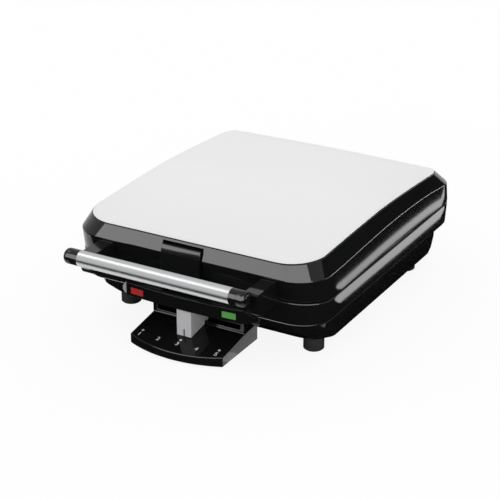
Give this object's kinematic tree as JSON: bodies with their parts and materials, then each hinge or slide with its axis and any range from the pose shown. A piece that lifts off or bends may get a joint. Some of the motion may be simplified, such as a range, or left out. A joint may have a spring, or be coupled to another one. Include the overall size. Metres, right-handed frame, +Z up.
{
  "type": "waffle maker",
  "caption": "Countertop waffle maker: hinged lid and base with gridded square cavities, front tube handle, lid latch and a sliding browning control on a low tongue.",
  "frame": {"origin": "under the middle of the whole object at table level, the rubber feet standing on z = 0", "axes": "+Z up, -Y towards the handle and the control tongue, +X to the right seen from the front"},
  "size_m": [0.282, 0.4138, 0.119],
  "materials": {
    "black_moulding": "glossy black moulded plastic",
    "brushed_lid": "brushed stainless sheet",
    "satin_tube": "satin drawn tube",
    "zinc": "bright zinc-plated steel",
    "nonstick": "cast aluminium plate with dark non-stick coating",
    "element_sheath": "dull heater sheath",
    "sheet": "plain sheet",
    "foot_rubber": "matt rubber",
    "red_lens": "clear red lens",
    "green_lens": "clear green lens",
    "knob_grey": "silver-grey painted plastic",
    "board_green": "solder-masked board",
    "ceramic": "pale insulating moulding",
    "lamp": "small clear lamp",
    "brass_case": "brass case"
  },
  "bodies": {
    "base": {"base_housing": "black_moulding", "bottom_cover": "sheet", "bottom_screws": "zinc", "feet": "foot_rubber", "lower_grid_plate": "nonstick", "lower_heating_element": "element_sheath", "lower_reflector": "sheet", "lower_plate_screws": "zinc", "control_fascia": "black_moulding", "control_tongue": "black_moulding", "control_cover": "black_moulding", "control_screws": "zinc", "red_lens": "red_lens", "green_lens": "green_lens", "indicator_lamps": "lamp", "circuit_board": "board_green", "browning_control": "knob_grey", "thermostat": "ceramic", "thermal_fuse": "brass_case", "terminal_block": "ceramic", "cord_gland": "foot_rubber", "latch_catch": "zinc", "hinge_brackets": "zinc", "hinge_pins": "zinc"},
    "lid": {"lid_housing": "black_moulding", "lid_panel": "brushed_lid", "upper_grid_plate": "nonstick", "upper_heating_element": "element_sheath", "upper_reflector": "sheet", "upper_plate_screws": "zinc", "handle_arm_left": "black_moulding", "handle_arm_right": "black_moulding", "handle_tube": "satin_tube", "handle_rod": "zinc", "handle_caps": "black_moulding", "handle_screws": "zinc", "latch_pin": "zinc", "hinge_arms": "zinc"},
    "latch": {"latch_lever": "black_moulding"},
    "slider": {"slider_knob": "knob_grey", "slider_carriage": "ceramic"}
  },
  "joints": [
    {"name": "lid_hinge", "type": "hinge", "parent": "base", "child": "lid", "pos_m": [0, 0.2009, 0.0735], "axis": [-1, 0, 0], "range_deg": [0, 100]},
    {"name": "latch_pivot", "type": "hinge", "parent": "lid", "child": "latch", "pos_m": [-0.0056, -0.1356, 0.101], "axis": [1, 0, 0], "range_deg": [-15, 5]},
    {"name": "browning_slide", "type": "slide", "parent": "base", "child": "slider", "axis": [1, 0, 0], "range_m": [-0.043, 0.043]}
  ]
}
